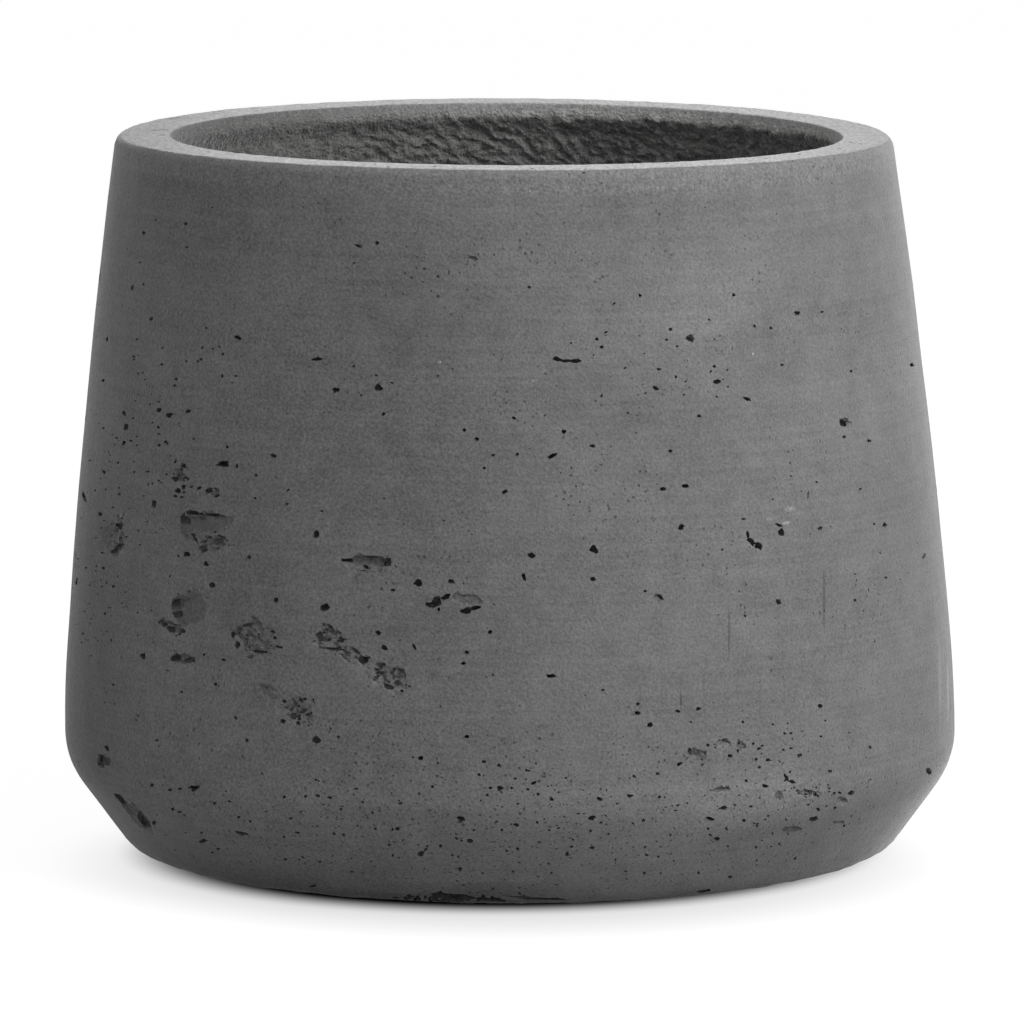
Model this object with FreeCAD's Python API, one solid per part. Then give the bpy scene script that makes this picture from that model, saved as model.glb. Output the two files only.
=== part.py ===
import FreeCAD, Part
import math
import os

Vector = FreeCAD.Vector

# A round floor planter in fibre cement, belly low down and mouth drawn in, as three things that
# come together: a smooth cast shell, a rough hand-laid lining inside it, and the rubber fittings
# (a drain plug and four foot pads). Millimetres, Z up, origin on the ground under the centre.

# Outside form
pot_height = 224.0             # foot ring to rim
belly_diameter = 280.0         # widest outside
belly_height = 36.5            # widest place, above the foot ring
belly_radius = 345.0           # slow bend in section where the wall turns upright
wall_lean = 4.64               # degrees from upright where the wall leaves the belly
rim_diameter = 242.6           # outside, where the wall would meet the top of the rim
shoulder_radius = 25.0         # tighter bend from the belly into the undercut
undercut_angle = 36.2          # degrees from upright
foot_radius = 11.5             # bend from the undercut to the foot ring

# Wall, rim and floor
skin_thickness = 6.0           # cast shell
lining_thickness = 9.0         # hand-laid lining on the wall
rim_width = 16.0               # top of the rim, across its roundings
rim_outer_round = 5.0          # outer edge as cast, before the top was ground flat
rim_round_turn = 55.0          # degrees from level where the ground flat cuts that round
rim_inner_round = 1.2
lip_depth = 5.0                # smooth lip above the lining's upper edge
lining_edge_round = 4.0        # slumped upper edge of the lining
skin_floor_thickness = 8.0
lining_floor_thickness = 12.0
least_inside_round = 4.0       # no bend where the two layers meet is sharper
floor_radius = 25.0            # bend between the lining's wall and floor

# Underside
foot_ring_width = 18.0         # flat ring around the recess
foot_ring_round = 1.0          # inner edge of that ring
base_recess_depth = 2.5
pad_count = 4
pad_diameter = 26.0
pad_proud = 0.5                # how far the pads stand out of the recess
pad_edge_round = 0.8
pad_margin = 6.0               # pad edge to recess wall

# Drain and its plug
drain_diameter = 22.0
drain_edge_round = 1.0         # lower mouth of the drain
seat_edge_round = 1.0          # upper edge of the plug head's seat
plug_clearance = 0.15          # sealing rib to drain wall
head_clearance = 0.3           # plug head to the side of its seat
head_overlap = 6.0             # head past the drain wall, all round
head_thickness = 4.0
head_edge_round = 1.2
head_border = 5.0              # raised border around the dish in the head
dish_depth = 1.6
knob_diameter = 9.0
knob_round = 0.7
rib_count = 2
rib_section_radius = 1.1
rib_height = 0.8               # rib over shank
shank_wall = 4.5               # rubber around the hollow that lets the shank squeeze
hollow_roof = 5.0              # rubber between the hollow and the dish
nose_chamfer = 1.5

# Levels and radii that follow
z_foot = pad_proud
z_rim = z_foot + pot_height
z_belly = z_foot + belly_height
z_lip = z_rim - lip_depth
z_recess = z_foot + base_recess_depth
z_skin_floor = z_recess + skin_floor_thickness
z_floor = z_skin_floor + lining_floor_thickness
z_plug_seat = z_floor - head_thickness
belly_r = belly_diameter / 2
rim_r = rim_diameter / 2
mouth_r = rim_r - rim_width
drain_r = drain_diameter / 2
head_r = drain_r + head_overlap
seat_r = head_r + head_clearance
lean = math.radians(wall_lean)
undercut = math.radians(undercut_angle)


def polar(centre, radius, angle):
    """Point of the section plane at an angle on a circle."""
    return Vector(centre.x + radius * math.cos(angle), 0, centre.z + radius * math.sin(angle))


def arc(centre, radius, start, end):
    """Arc of the section plane between two angles."""
    middle = (start + end) / 2
    ends = [polar(centre, radius, angle) for angle in (start, middle, end)]
    return Part.Arc(*ends).toShape()


def wall_arc():
    """Centre and radius of the long arc that leaves the belly at its lean and passes through the rim."""
    start = polar(Vector(belly_r - belly_radius, 0, z_belly), belly_radius, lean)
    inward = Vector(-math.cos(lean), 0, -math.sin(lean))
    chord = Vector(rim_r, 0, z_rim) - start
    radius = chord.dot(chord) / (2 * chord.dot(inward))
    return start + inward * radius, radius


def side_outline(inset, belly_start, top_z):
    """Belly and wall arcs moved inwards by an inset, from an angle on the belly up to a level."""
    belly_centre = Vector(belly_r - belly_radius, 0, z_belly)
    wall_centre, wall_radius = wall_arc()
    wall_end = math.asin((top_z - wall_centre.z) / (wall_radius - inset))
    return [
        arc(belly_centre, belly_radius - inset, belly_start, lean),
        arc(wall_centre, wall_radius - inset, lean, wall_end),
    ]


def outline(inset, base_z, base_round, top_z):
    """Edges of the pot's outside section moved inwards by an inset, from the flat at base_z up to top_z."""
    # The undercut's outward normal, and the undercut's place along it
    normal = Vector(math.cos(undercut), 0, -math.sin(undercut))
    shoulder_centre = Vector(belly_r - shoulder_radius, 0, z_belly)
    face = normal.dot(shoulder_centre) + shoulder_radius - inset

    # The shoulder bend touches the belly arc and the undercut
    shoulder = max(shoulder_radius - inset, least_inside_round)
    belly_centre = Vector(belly_r - belly_radius, 0, z_belly)
    reach = belly_radius - inset - shoulder
    to_face = normal.dot(belly_centre) - (face - shoulder)
    along = math.sqrt(reach ** 2 - to_face ** 2)
    up_face = Vector(math.sin(undercut), 0, math.cos(undercut))
    centre = belly_centre - normal * to_face + up_face * along
    belly_start = math.atan2(centre.z - belly_centre.z, centre.x - belly_centre.x)

    # The base bend touches the flat and the undercut
    base_centre_z = base_z + base_round
    base_centre_x = (face - base_round - normal.z * base_centre_z) / normal.x
    base_centre = Vector(base_centre_x, 0, base_centre_z)

    undercut_low = polar(base_centre, base_round, -undercut)
    undercut_high = polar(centre, shoulder, -undercut)
    return [
        arc(base_centre, base_round, -math.pi / 2, -undercut),
        Part.LineSegment(undercut_low, undercut_high).toShape(),
        arc(centre, shoulder, -undercut, belly_start),
    ] + side_outline(inset, belly_start, top_z)


def outer_outline():
    """Outside section of the shell, from the foot ring to the ground flat of the rim, which cuts its outer bend."""
    wall_centre, wall_radius = wall_arc()
    reach = wall_radius - rim_outer_round
    bend_end = math.radians(rim_round_turn)
    bend_centre_z = z_rim - rim_outer_round * math.sin(bend_end)
    bend_start = math.asin((bend_centre_z - wall_centre.z) / reach)
    bend_centre = polar(wall_centre, reach, bend_start)
    wall_top = polar(wall_centre, wall_radius, bend_start).z
    rim_bend = arc(bend_centre, rim_outer_round, bend_start, bend_end)
    return outline(0, z_foot, foot_radius, wall_top) + [rim_bend]


def interface_outline():
    """Section where the lining meets the shell."""
    inside_round = max(foot_radius - skin_thickness, least_inside_round)
    return outline(skin_thickness, z_skin_floor, inside_round, z_lip)


def cavity_outline():
    """Section of the planting space below the lip: one bend from the floor into the side, no undercut,
    and the slumped upper edge of the lining at the top."""
    inset = skin_thickness + lining_thickness
    belly_centre = Vector(belly_r - belly_radius, 0, z_belly)
    reach = belly_radius - inset - floor_radius
    bend_end = math.asin((z_floor + floor_radius - z_belly) / reach)
    floor_bend = arc(polar(belly_centre, reach, bend_end), floor_radius, -math.pi / 2, bend_end)

    wall_centre, wall_radius = wall_arc()
    edge_reach = wall_radius - inset + lining_edge_round
    edge_start = math.asin((z_lip - lining_edge_round - wall_centre.z) / edge_reach)
    edge_centre = polar(wall_centre, edge_reach, edge_start)
    edge_bend = arc(edge_centre, lining_edge_round, math.pi + edge_start, math.pi / 2)
    wall_top = polar(wall_centre, wall_radius - inset, edge_start).z
    return [floor_bend] + side_outline(inset, bend_end, wall_top) + [edge_bend]


def turned(edges):
    """Solid turned about the pot's axis from an open section, closed along its two ends and the axis."""
    low = edges[0].Vertexes[0].Point
    high = edges[-1].Vertexes[-1].Point
    axis_low = Vector(0, 0, low.z)
    axis_high = Vector(0, 0, high.z)
    closing = [
        Part.LineSegment(axis_low, low).toShape(),
        Part.LineSegment(high, axis_high).toShape(),
        Part.LineSegment(axis_high, axis_low).toShape(),
    ]
    section = Part.Face(Part.Wire(Part.sortEdges(edges + closing)[0]))
    return section.revolve(Vector(0, 0, 0), Vector(0, 0, 1), 360)


def disc(radius, low, high, x=0, y=0):
    """Upright cylinder between two levels."""
    return Part.makeCylinder(radius, high - low, Vector(x, y, low))


def rounded(solid, radius, level, edge_r):
    """Solid with its circular edge at that level and radius rounded."""
    edges = [
        edge for edge in solid.Edges
        if hasattr(edge.Curve, "Radius")
        and abs(edge.Curve.Radius - edge_r) < 1e-4
        and abs(edge.BoundBox.ZMin - level) < 1e-4
        and abs(edge.BoundBox.ZMax - level) < 1e-4
    ]
    return solid.makeFillet(radius, edges)


def recess_radius():
    """Radius of the base recess inside the foot ring."""
    foot_r = outer_outline()[0].Vertexes[0].Point.x
    return foot_r - foot_ring_width


def cast_shell():
    """Smooth shell with the rim, the lip over the lining, the foot ring and the lower half of the drain."""
    shell = turned(outer_outline())
    shell = shell.cut(turned(interface_outline()))
    shell = shell.cut(disc(mouth_r, z_lip, z_rim))
    shell = shell.cut(disc(recess_radius(), z_foot, z_recess))
    shell = shell.cut(disc(drain_r, z_recess, z_skin_floor))
    shell = rounded(shell, rim_inner_round, z_rim, mouth_r)
    shell = rounded(shell, foot_ring_round, z_foot, recess_radius())
    return rounded(shell, drain_edge_round, z_recess, drain_r)


def fibre_lining():
    """Rough lining pressed into the shell, with the seat for the plug's head in its floor."""
    lining = turned(interface_outline()).cut(turned(cavity_outline()))
    lining = lining.cut(disc(seat_r, z_plug_seat, z_floor))
    lining = lining.cut(disc(drain_r, z_skin_floor, z_plug_seat))
    return rounded(lining, seat_edge_round, z_floor, seat_r)


def drain_plug():
    """Rubber stopper: dished head with a knob, ribbed shank and a hollow core open below."""
    rib_r = drain_r - plug_clearance
    shank_r = rib_r - rib_height
    z_dish = z_floor - dish_depth
    head = rounded(disc(head_r, z_plug_seat, z_floor), head_edge_round, z_floor, head_r)
    dish = disc(head_r - head_border, z_dish, z_floor)
    knob = rounded(disc(knob_diameter / 2, z_dish, z_floor), knob_round, z_floor, knob_diameter / 2)
    shank = disc(shank_r, z_recess, z_plug_seat)
    lower_edge = [edge for edge in shank.Edges if edge.BoundBox.ZMax < z_recess + 1e-4]
    shank = shank.makeChamfer(nose_chamfer, lower_edge)
    rib_pitch = (z_plug_seat - z_recess) / (rib_count + 1)
    rib_levels = [z_recess + rib_pitch * (n + 1) for n in range(rib_count)]
    ribs = [
        Part.makeTorus(rib_r - rib_section_radius, rib_section_radius, Vector(0, 0, level))
        for level in rib_levels
    ]
    hollow = disc(shank_r - shank_wall, z_recess, z_dish - hollow_roof)
    return head.cut(dish).fuse([knob, shank] + ribs).cut(hollow).removeSplitter()


def foot_pad(number):
    """One rubber pad stuck in the base recess, with a rounded lower edge."""
    pitch_r = recess_radius() - pad_margin - pad_diameter / 2
    angle = math.radians(360 / pad_count * (number - 0.5))
    pad = disc(pad_diameter / 2, 0, z_recess, pitch_r * math.cos(angle), pitch_r * math.sin(angle))
    return rounded(pad, pad_edge_round, 0, pad_diameter / 2)


def main():
    """Builds every piece and writes one STEP file for each."""
    pieces = {"cast_shell": cast_shell(), "fibre_lining": fibre_lining(), "drain_plug": drain_plug()}
    for number in range(1, pad_count + 1):
        pieces[f"foot_pad_{number}"] = foot_pad(number)
    os.makedirs("parts", exist_ok=True)
    for name, solid in pieces.items():
        solid.exportStep(f"parts/{name}.step")
        print(f"{name}: {len(solid.Solids)} solid, valid {solid.isValid()}, {solid.Volume / 1000:.1f} cm3")


main()
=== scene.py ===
import functools
import math
import random
from collections import namedtuple

import bmesh
import bpy
from mathutils import Matrix, Vector, noise
from mathutils.bvhtree import BVHTree
from mathutils.kdtree import KDTree


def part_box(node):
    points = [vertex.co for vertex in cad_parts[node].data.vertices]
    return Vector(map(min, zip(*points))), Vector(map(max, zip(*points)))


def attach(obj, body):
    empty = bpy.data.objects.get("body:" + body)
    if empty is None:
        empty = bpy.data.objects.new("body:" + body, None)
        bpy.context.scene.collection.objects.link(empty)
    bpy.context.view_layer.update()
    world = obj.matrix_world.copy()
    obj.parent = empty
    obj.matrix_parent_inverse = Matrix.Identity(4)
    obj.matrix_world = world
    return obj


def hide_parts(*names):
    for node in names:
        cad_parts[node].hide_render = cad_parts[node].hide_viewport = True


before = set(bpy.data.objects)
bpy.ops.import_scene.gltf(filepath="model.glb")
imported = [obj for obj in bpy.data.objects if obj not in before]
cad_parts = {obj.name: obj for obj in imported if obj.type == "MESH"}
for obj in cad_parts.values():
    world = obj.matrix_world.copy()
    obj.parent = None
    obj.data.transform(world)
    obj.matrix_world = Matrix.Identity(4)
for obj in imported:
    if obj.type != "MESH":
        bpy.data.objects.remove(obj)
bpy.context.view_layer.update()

MM = 0.001
SAME_PLACE = 1e-6


def mm(*sizes):
    """Sizes in millimetres as metres."""
    return tuple(size * MM for size in sizes)


# The pot's section in metres, with the same sizes as its solids but for the rim's inner edge, which is worn
# sharper, and the lip, up to which the lining was smeared
FOOT_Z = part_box("cast_shell")[0].z
RIM_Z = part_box("cast_shell")[1].z
BELLY_R = 140.0 * MM
BELLY_Z = FOOT_Z + 36.5 * MM
BELLY_BEND = 345.0 * MM
WALL_LEAN = math.radians(4.64)
RIM_R = 121.3 * MM
RIM_WIDTH = 16.0 * MM
RIM_OUTER_BEND = 5.0 * MM
RIM_BEND_END = math.radians(55)
RIM_INNER_BEND = 0.5 * MM
MOUTH_R = RIM_R - RIM_WIDTH
SHOULDER_BEND = 25.0 * MM
UNDERCUT = math.radians(36.2)
FOOT_BEND = 11.5 * MM
SKIN = 6.0 * MM
LINING = 9.0 * MM
LIP_DEPTH = 3.4 * MM
LIP_Z = RIM_Z - LIP_DEPTH
INSIDE_BEND = FOOT_BEND - SKIN
FOOT_RING = 18.0 * MM
FOOT_RING_BEND = 1.0 * MM
RECESS_Z = FOOT_Z + 2.5 * MM
SKIN_FLOOR_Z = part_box("fibre_lining")[0].z
FLOOR_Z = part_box("drain_plug")[1].z
FLOOR_BEND = 25.0 * MM
DRAIN_R = 11.0 * MM
SEAT_R = 17.3 * MM
SEAT_Z = FLOOR_Z - 4.0 * MM
SEAT_EDGE = 1.0 * MM
FOOT_PADS = 4

# How fine the turned meshes are; the steps are those of the foot's bend, undercut, shoulder, belly and wall
SHELL_SEGMENTS = 224
LINING_SEGMENTS = 1040
FINE_STEPS = (8, 5, 9, 4, 18)
COARSE_STEPS = (2, 1, 3, 1, 3)
RIM_STEPS = 7
LIP_STEPS = 4
UNDERSIDE_STEPS = 3
FLOOR_STEPS = 8
FLOOR_BEND_STEPS = 4

# The lining's wall is fine as deep as the photo looks into it, and coarse below that and a gap
SEEN_DEPTH = 22.0 * MM
SEEN_GAP = 0.5 * MM
SEEN_STEPS = 350
UNSEEN_STEPS = 16

# The camera, as measured from the photo's frame of 1024 by 1024
PHOTO_SIZE = 1024
SENSOR = 36.0
FOCAL_PIXELS = 9239.0
CAMERA_AT = Vector((1.29 * MM, -2877.0 * MM, FOOT_Z + 486.5 * MM))
CAMERA_PITCH = 0.132
CAMERA_TURN = Matrix.Rotation(math.pi / 2 - CAMERA_PITCH, 3, "X")

# Hollows of the front, as they lie in the photo's frame: across, down, width, height, turn in degrees, depth
# in mm, the side where they are deepest in degrees from the right, and how high their crumbs are in mm
DISHES = [
    # Wide hollow high on the left with its broken lower edge, and the one near the left edge
    (206, 523, 50, 22, -3, 1.9, 115, 0.3), (190, 528, 24, 30, 0, 1.1, 150, 0.5),
    (212, 545, 32, 18, 10, 0.7, 90, 0.9), (113, 538, 26, 40, 0, 0.9, 10, 0.9),
    (181, 480, 16, 30, 20, 0.4, 90, 1.0), (213, 493, 20, 12, -20, 0.4, 90, 0.9),
    # Round hollow and what broke out below it
    (191, 609, 42, 35, 0, 2.0, 165, 0.3), (172, 628, 26, 12, -20, 0.8, 90, 0.8),
    (186, 659, 28, 11, -8, 1.6, 170, 0.3),
    # Crumbled place to its right, and the wedge and the leaf above
    (256, 639, 54, 36, -18, 0.6, 180, 1.2), (368, 563, 50, 15, -3, 2.2, 60, 0.3),
    (368, 569, 36, 12, -4, 0.6, 90, 0.5), (467, 600, 38, 13, -6, 0.7, 80, 0.1),
    # Crumbled band that slants down, and the pale flake and cluster below it
    (331, 640, 38, 26, -30, 0.6, 120, 1.1), (353, 657, 34, 18, -25, 0.5, 100, 1.0),
    (392, 680, 44, 28, -20, 0.6, 100, 1.1), (297, 711, 36, 30, -20, 0.6, 90, 1.1),
    (268, 695, 26, 20, -50, 0.35, 90, 0.5),
    # Wedge on the undercut
    (136, 815, 48, 15, -42, 2.4, 45, 0.2),
    # Low on the right, with an open bubble further up
    (697, 757, 23, 20, -15, 0.9, 100, 0.6), (657, 598, 12, 9, 10, 0.9, 45, 0.1),
    (721, 790, 21, 7, 4, 1.2, 90, 0.2), (793, 830, 21, 8, 8, 1.5, 90, 0.1),
    (808, 794, 28, 10, -6, 0.7, 110, 0.9), (779, 796, 11, 10, 20, 0.6, 120, 0.4),
    (842, 801, 13, 10, 0, 0.8, 90, 0.5), (839, 823, 14, 5, 8, 0.7, 90, 0.1),
    (724, 743, 16, 11, 0, 0.5, 90, 0.8), (740, 746, 12, 12, 0, 0.5, 90, 0.8),
    # Single shallow ones higher up
    (845, 423, 12, 12, 0, 0.9, 90, 0.3), (473, 259, 11, 7, -10, 0.8, 90, 0.2),
    (690, 339, 12, 8, 0, 0.7, 90, 0.4), (358, 246, 12, 4, 0, 0.4, 90, 0.1),
]

# Deep dark bites of the front in the same way, up to their depth
BITES = [
    # Dark corner, top and broken lower edge of the wide hollow
    (184, 519, 8, 12, 8, 3.0), (193, 513, 16, 5, -6, 2.8), (212, 515, 22, 4, -2, 2.6),
    (195, 539, 16, 4, -55, 1.8), (203, 549, 9, 8, 0, 2.0), (218, 541, 11, 7, 10, 1.8),
    # Corners of the hollow near the left edge
    (118, 526, 9, 7, 0, 2.4), (122, 533, 4, 9, 0, 2.2), (117, 546, 9, 7, 20, 2.4), (113, 551, 7, 5, 30, 2.0),
    # Left of the round hollow, and what broke out below it
    (174, 602, 7, 10, -20, 3.6), (176, 614, 8, 8, 20, 3.6), (163, 624, 7, 4, -20, 1.8),
    (170, 629, 9, 7, -30, 2.2), (182, 631, 7, 5, 0, 1.8), (174, 658, 8, 8, 0, 2.8),
    (188, 660, 14, 6, -6, 2.2),
    # Edges of the crumbled place
    (233, 635, 5, 8, 0, 1.8), (238, 645, 7, 7, 0, 1.8), (247, 625, 12, 4, 10, 1.6),
    (260, 652, 18, 4, -8, 2.2), (279, 647, 9, 4, -10, 1.6),
    # Ends and edges of the wedge
    (346, 560, 14, 5, -4, 2.6), (365, 567, 8, 5, -20, 2.4), (387, 562, 11, 9, 10, 3.2),
    (372, 557, 26, 3, -2, 1.8),
    # Jagged cavity: a deep zigzag and a bar below it on the right
    (430, 605, 15, 7, -8, 3.6), (437, 602, 14, 11, 40, 4.0), (446, 597, 13, 6, 25, 3.6),
    (439, 609, 5, 6, 0, 2.6), (466, 611, 13, 7, 5, 3.6), (475, 608, 15, 5, 10, 3.4),
    # Along the crumbled band
    (363, 660, 11, 9, 0, 3.2), (319, 637, 7, 13, 20, 1.8), (335, 649, 20, 4, -6, 1.6),
    (341, 640, 9, 4, 10, 1.6), (379, 673, 9, 4, 0, 1.8), (388, 687, 11, 6, -20, 1.6),
    (397, 683, 8, 7, 0, 1.6), (317, 740, 11, 9, 20, 2.6), (283, 721, 7, 6, 0, 1.8), (303, 711, 9, 5, 30, 1.6),
    (293, 716, 8, 8, 0, 1.6),
    # Wedge on the undercut, and pits above it
    (121, 801, 22, 4, -42, 2.2), (143, 823, 24, 8, -38, 2.8), (103, 761, 13, 14, 0, 1.8),
    (194, 788, 13, 6, 0, 2.4),
    # Comma and hook on the right
    (758, 546, 11, 9, -25, 4.0), (751, 541, 6, 12, 45, 3.4), (748, 535, 4, 9, 15, 2.6),
    (781, 532, 7, 9, 10, 3.4), (779, 525, 9, 3, -25, 2.2),
    # Zigzag crack high in the middle
    (557, 359, 12, 5, -20, 2.6), (566, 361, 12, 4, 10, 2.4), (576, 361, 14, 5, 4, 2.4),
    # Low on the right, with the dark edge of the bubble
    (690, 751, 6, 5, 0, 1.8), (661, 597, 10, 3, -45, 1.8), (786, 777, 4, 10, 25, 2.2),
    (792, 782, 9, 4, -20, 1.8), (816, 795, 5, 5, 0, 2.4), (813, 819, 11, 6, 20, 3.2),
    (698, 709, 7, 6, 10, 2.6), (929, 772, 6, 9, 0, 1.2),
    # Out of the foot's edge
    (452, 899, 48, 9, 0, 6.0), (438, 895, 18, 8, 0, 4.0), (492, 900, 28, 6, 0, 4.0),
    (540, 899, 60, 3, 0, 2.0), (402, 900, 22, 5, 0, 3.6), (704, 891, 14, 4, 12, 1.6),
    # Fissures in the rim's flat top on the left
    (160, 130, 18, 2.2, 2, 1.2), (161, 135, 9, 1.8, 2, 1.0), (175, 118, 14, 1.6, 6, 0.8),
]

# Clusters of small pits in the photo's frame: across, down, width, height, turn, how many, and least and most
# width of a pit
CLUSTERS = [
    # Crumbled places
    (256, 639, 50, 34, -18, 22, 2, 6), (332, 642, 38, 24, -30, 24, 2, 6), (392, 680, 42, 28, -20, 24, 2, 6),
    (297, 711, 34, 30, -20, 22, 2, 6), (185, 645, 50, 34, 0, 16, 2, 5), (697, 757, 24, 22, 0, 14, 2, 5),
    (812, 792, 60, 18, 0, 18, 2, 5), (206, 545, 40, 26, 0, 14, 2, 5), (113, 536, 34, 44, 0, 22, 2, 5),
    (179, 478, 26, 44, 20, 16, 3, 7), (355, 730, 110, 24, -8, 56, 1.6, 4), (470, 897, 170, 10, 0, 26, 3, 8),
    # Drifts of pores
    (140, 430, 130, 130, 0, 70, 1.8, 4), (150, 560, 150, 160, 0, 60, 1.8, 4),
    (130, 660, 110, 120, 0, 36, 1.8, 4), (180, 250, 150, 110, 0, 26, 1.6, 3.5),
    (190, 350, 140, 70, 0, 30, 1.8, 4), (420, 260, 160, 70, 0, 26, 1.6, 3.5),
    (390, 370, 160, 90, 0, 44, 1.8, 4), (660, 360, 190, 110, 0, 90, 1.8, 4.5),
    (560, 430, 180, 90, 0, 34, 1.8, 4), (760, 745, 110, 46, 0, 60, 2, 5), (430, 560, 220, 160, 0, 40, 1.8, 4),
    (800, 560, 220, 200, 0, 44, 1.6, 3.5), (300, 830, 330, 70, 0, 130, 1.8, 5),
    (570, 820, 260, 80, 0, 120, 1.8, 5), (760, 815, 180, 70, 0, 50, 1.8, 4.5),
    (740, 780, 280, 170, 0, 130, 1.9, 3.9), (118, 600, 90, 300, 0, 90, 1.4, 3),
    (540, 795, 250, 70, 0, 110, 2.2, 4.6), (620, 850, 330, 50, 0, 60, 2, 4),
    (420, 800, 200, 90, 0, 50, 2, 4.2), (330, 780, 260, 70, 0, 44, 1.8, 4),
    (520, 870, 420, 40, 0, 50, 1.8, 4), (440, 690, 160, 90, 0, 24, 1.8, 4),
]

# Single pits of the front in the photo's frame: across, down, width, height
PITS = [
    (186, 224, 5, 4), (144, 233, 4, 4), (156, 220, 3, 3), (377, 243, 5, 5), (354, 263, 5, 3),
    (405, 257, 4, 3), (358, 246, 9, 2), (132, 288, 3, 6), (151, 319, 4, 6), (107, 339, 3, 6),
    (238, 338, 11, 4), (202, 348, 4, 4), (201, 359, 4, 4), (223, 354, 4, 4), (222, 376, 4, 4),
    (176, 379, 4, 4), (162, 364, 4, 4), (216, 365, 3, 3), (317, 359, 12, 4), (336, 390, 9, 6),
    (379, 388, 9, 9), (361, 395, 4, 3), (383, 414, 5, 4), (354, 366, 4, 3), (376, 375, 4, 3),
    (392, 383, 5, 3), (438, 376, 4, 4), (159, 410, 6, 6), (169, 415, 8, 7), (188, 411, 6, 5),
    (124, 413, 4, 5), (126, 427, 5, 8), (133, 418, 3, 3), (124, 443, 4, 6), (131, 441, 4, 3),
    (158, 427, 4, 4), (166, 442, 4, 4), (159, 445, 4, 4), (227, 447, 4, 4), (223, 464, 14, 7),
    (237, 466, 4, 6), (274, 456, 8, 5), (256, 475, 4, 4), (276, 477, 3, 3), (175, 461, 4, 5),
    (182, 470, 5, 6), (175, 479, 6, 6), (183, 487, 5, 7), (199, 488, 6, 4), (208, 491, 6, 5),
    (216, 496, 6, 5), (175, 496, 5, 5), (154, 504, 6, 8), (104, 472, 4, 5), (255, 498, 4, 3),
    (287, 504, 5, 3), (322, 511, 4, 3), (288, 490, 4, 3), (84, 497, 6, 12), (100, 514, 5, 5),
    (187, 554, 8, 7), (206, 564, 8, 6), (249, 557, 5, 5), (316, 534, 7, 9), (212, 585, 7, 6),
    (276, 600, 6, 6), (325, 607, 12, 8), (143, 656, 7, 7), (181, 631, 6, 5), (170, 576, 4, 4),
    (384, 648, 8, 7), (378, 633, 7, 6), (400, 640, 4, 4), (414, 647, 5, 8), (434, 659, 4, 4),
    (467, 652, 6, 5), (463, 663, 7, 6), (490, 632, 6, 5), (418, 583, 9, 9), (451, 581, 7, 6),
    (393, 590, 6, 4), (532, 556, 10, 7), (594, 550, 10, 9), (524, 577, 5, 9), (593, 579, 6, 6),
    (645, 591, 4, 4), (551, 676, 13, 5), (603, 690, 6, 3), (467, 737, 7, 5), (650, 725, 7, 6),
    (638, 713, 8, 5), (638, 704, 5, 4), (421, 758, 8, 6), (438, 763, 4, 4), (484, 762, 6, 4),
    (500, 788, 8, 6), (490, 788, 6, 3), (487, 795, 5, 4), (534, 783, 7, 4), (593, 781, 4, 4),
    (658, 774, 5, 4), (461, 819, 9, 6), (516, 825, 8, 4), (502, 830, 5, 4), (592, 818, 9, 6),
    (600, 799, 7, 5), (629, 796, 7, 4), (470, 841, 8, 5), (398, 829, 7, 5), (592, 848, 7, 4),
    (421, 854, 8, 6), (460, 869, 5, 6), (567, 854, 6, 5), (313, 886, 8, 3), (363, 802, 4, 4),
    (571, 343, 4, 4), (602, 347, 5, 4), (797, 313, 7, 5), (822, 312, 5, 3), (755, 326, 4, 4),
    (771, 328, 4, 4), (782, 365, 4, 4), (690, 339, 8, 5), (717, 382, 8, 6), (747, 399, 9, 4),
    (656, 388, 7, 5), (658, 369, 6, 3), (602, 396, 3, 5), (699, 416, 5, 4), (628, 413, 4, 4),
    (564, 432, 7, 6), (592, 446, 8, 4), (636, 433, 4, 4), (670, 451, 7, 4), (845, 423, 8, 8),
    (844, 437, 5, 4), (869, 441, 5, 4), (851, 371, 4, 4), (912, 365, 6, 5), (663, 489, 7, 5),
    (686, 486, 9, 5), (817, 482, 4, 3), (682, 527, 9, 7), (820, 528, 6, 5), (885, 525, 5, 5),
    (744, 519, 6, 3), (924, 556, 3, 7), (778, 602, 7, 7), (886, 578, 4, 4), (745, 616, 4, 3),
    (855, 600, 4, 4), (678, 711, 7, 4), (820, 706, 6, 5), (680, 764, 8, 5), (768, 760, 6, 4),
    (730, 756, 6, 4), (753, 744, 5, 4), (743, 722, 4, 3), (765, 786, 7, 4), (830, 771, 5, 4),
    (851, 793, 8, 5), (724, 808, 7, 5), (710, 819, 11, 4), (717, 839, 7, 4), (744, 821, 5, 4),
    (795, 859, 4, 3), (730, 877, 5, 4), (870, 747, 3, 5), (634, 776, 4, 3), (630, 796, 6, 4),
    (107, 748, 5, 6), (552, 456, 13, 5), (484, 468, 5, 4), (505, 492, 8, 5), (517, 454, 5, 4),
    (493, 455, 5, 4), (514, 418, 5, 4), (464, 430, 6, 5), (477, 439, 6, 5), (529, 287, 6, 4),
    (640, 295, 5, 5), (734, 295, 4, 5), (241, 833, 15, 4), (284, 797, 5, 4), (152, 785, 5, 4),
    (170, 790, 5, 4), (180, 789, 5, 4), (236, 718, 4, 6), (247, 740, 4, 5), (182, 692, 4, 3),
    (215, 684, 6, 4), (224, 660, 6, 4), (157, 740, 4, 4), (298, 833, 8, 3), (203, 841, 8, 5),
]

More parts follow.
